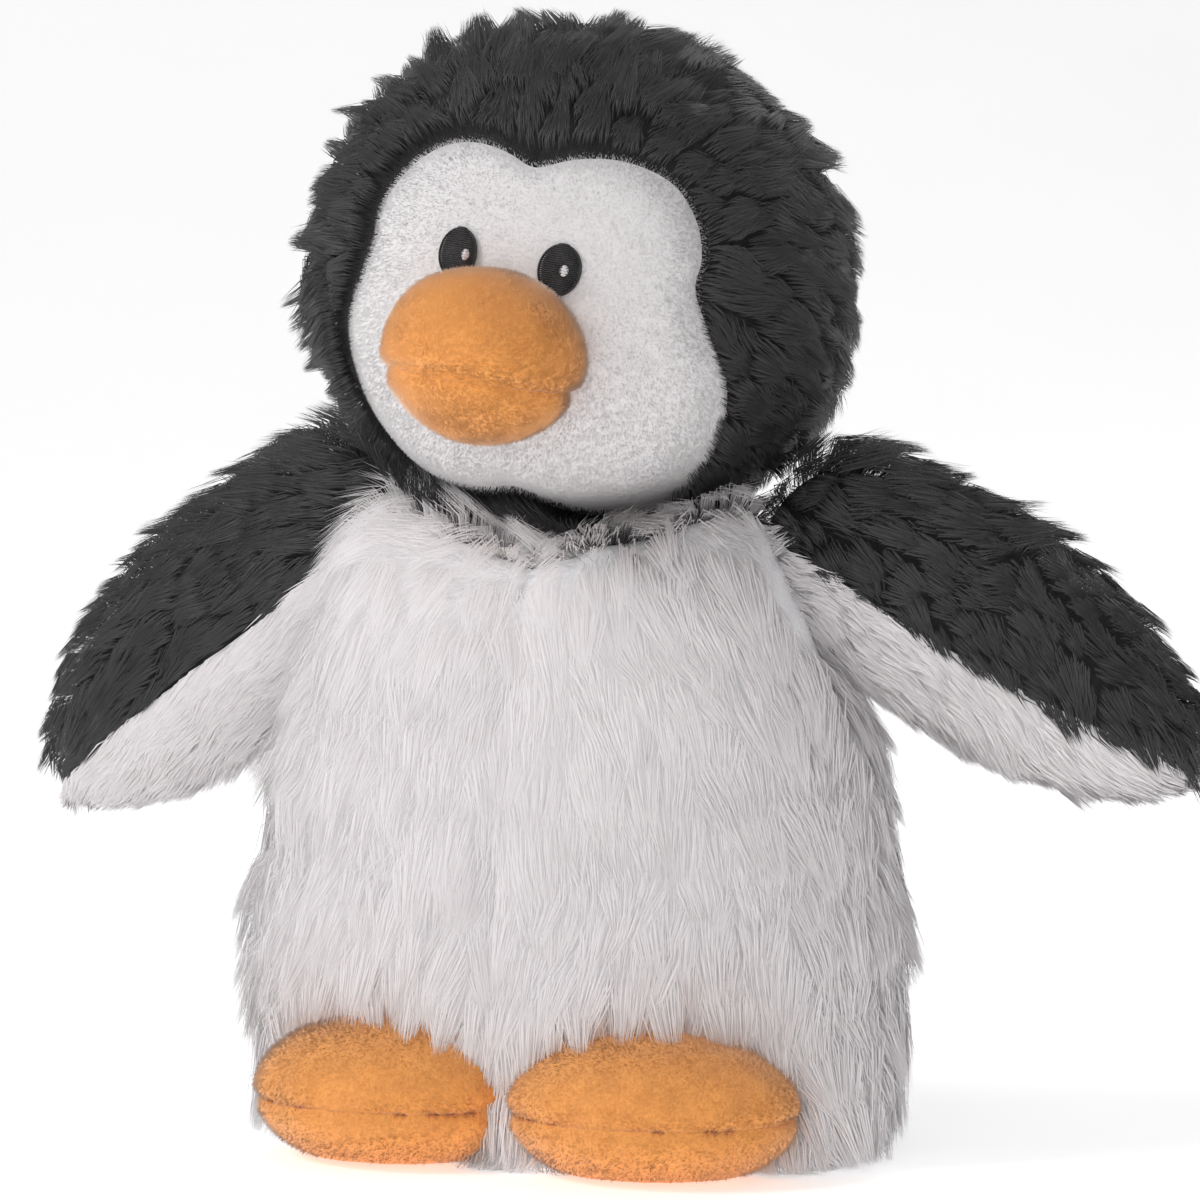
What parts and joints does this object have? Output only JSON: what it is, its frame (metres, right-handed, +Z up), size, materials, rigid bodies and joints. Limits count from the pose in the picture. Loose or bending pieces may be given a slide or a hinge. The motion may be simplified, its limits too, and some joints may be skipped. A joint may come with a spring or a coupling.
{
  "type": "plush penguin",
  "caption": "Standing stuffed toy penguin with a black hood and back, a shaggy white belly, drooping two-tone wings, and a plump orange beak and feet.",
  "frame": {"origin": "middle of the flat base panel, on the surface the toy stands on", "axes": "+Z up; the toy faces -Y and its own left is +X"},
  "size_m": [0.2923, 0.1415, 0.2598],
  "materials": {
    "black_pile": "matte",
    "white_pile": "matte",
    "short_white": "matte",
    "orange_pile": "matte",
    "black_thread": "matte",
    "white_thread": "matte",
    "fibre_fill": "matte",
    "pouch_cloth": "matte",
    "label_ribbon": "matte"
  },
  "bodies": {
    "torso": {"belly_panel_left": "white_pile", "belly_panel_right": "white_pile", "back_panel": "black_pile", "base_panel": "short_white", "torso_stuffing": "fibre_fill", "bean_pouch": "pouch_cloth", "care_label": "label_ribbon"},
    "neck": {"neck_stuffing": "fibre_fill"},
    "head": {"hood_left": "black_pile", "hood_right": "black_pile", "face_panel": "short_white", "head_stuffing": "fibre_fill", "beak_upper": "orange_pile", "beak_lower": "orange_pile", "beak_stuffing": "fibre_fill", "eye_left": "black_thread", "eye_highlight_left": "white_thread", "eye_right": "black_thread", "eye_highlight_right": "white_thread"},
    "wing_left": {"wing_left_back": "black_pile", "wing_left_front": "white_pile", "wing_left_stuffing": "fibre_fill"},
    "wing_right": {"wing_right_back": "black_pile", "wing_right_front": "white_pile", "wing_right_stuffing": "fibre_fill"},
    "foot_left": {"foot_left_upper": "orange_pile", "foot_left_sole": "orange_pile", "foot_left_stuffing": "fibre_fill"},
    "foot_right": {"foot_right_upper": "orange_pile", "foot_right_sole": "orange_pile", "foot_right_stuffing": "fibre_fill"}
  },
  "joints": [
    {"name": "head_turn", "type": "hinge", "parent": "torso", "child": "neck", "pos_m": [0, 0, 0.178], "axis": [0, 0, 1], "range_deg": [-20, 20], "stiffness_Nm_per_rad": 0.3},
    {"name": "head_nod", "type": "hinge", "parent": "neck", "child": "head", "pos_m": [0, 0, 0.178], "axis": [1, 0, 0], "range_deg": [-12, 12], "stiffness_Nm_per_rad": 0.5, "springref_deg": -0.23},
    {"name": "wing_left_flap", "type": "hinge", "parent": "torso", "child": "wing_left", "pos_m": [0.06, 0.008, 0.139], "axis": [-0.0349, -0.9994, 0], "range_deg": [-19, 41], "stiffness_Nm_per_rad": 0.08, "springref_deg": 4.35},
    {"name": "wing_right_flap", "type": "hinge", "parent": "torso", "child": "wing_right", "pos_m": [-0.06, 0.008, 0.139], "axis": [0.0698, 0.9976, 0], "range_deg": [-12.5, 47.5], "stiffness_Nm_per_rad": 0.08, "springref_deg": 3.9},
    {"name": "foot_left_lift", "type": "hinge", "parent": "torso", "child": "foot_left", "pos_m": [0.03, -0.014, 0.0155], "axis": [-0.9848, -0.1736, 0], "range_deg": [0, 20], "stiffness_Nm_per_rad": 0.1},
    {"name": "foot_right_lift", "type": "hinge", "parent": "torso", "child": "foot_right", "pos_m": [-0.03, -0.014, 0.0155], "axis": [-0.9848, 0.1736, 0], "range_deg": [0, 20], "stiffness_Nm_per_rad": 0.1}
  ]
}
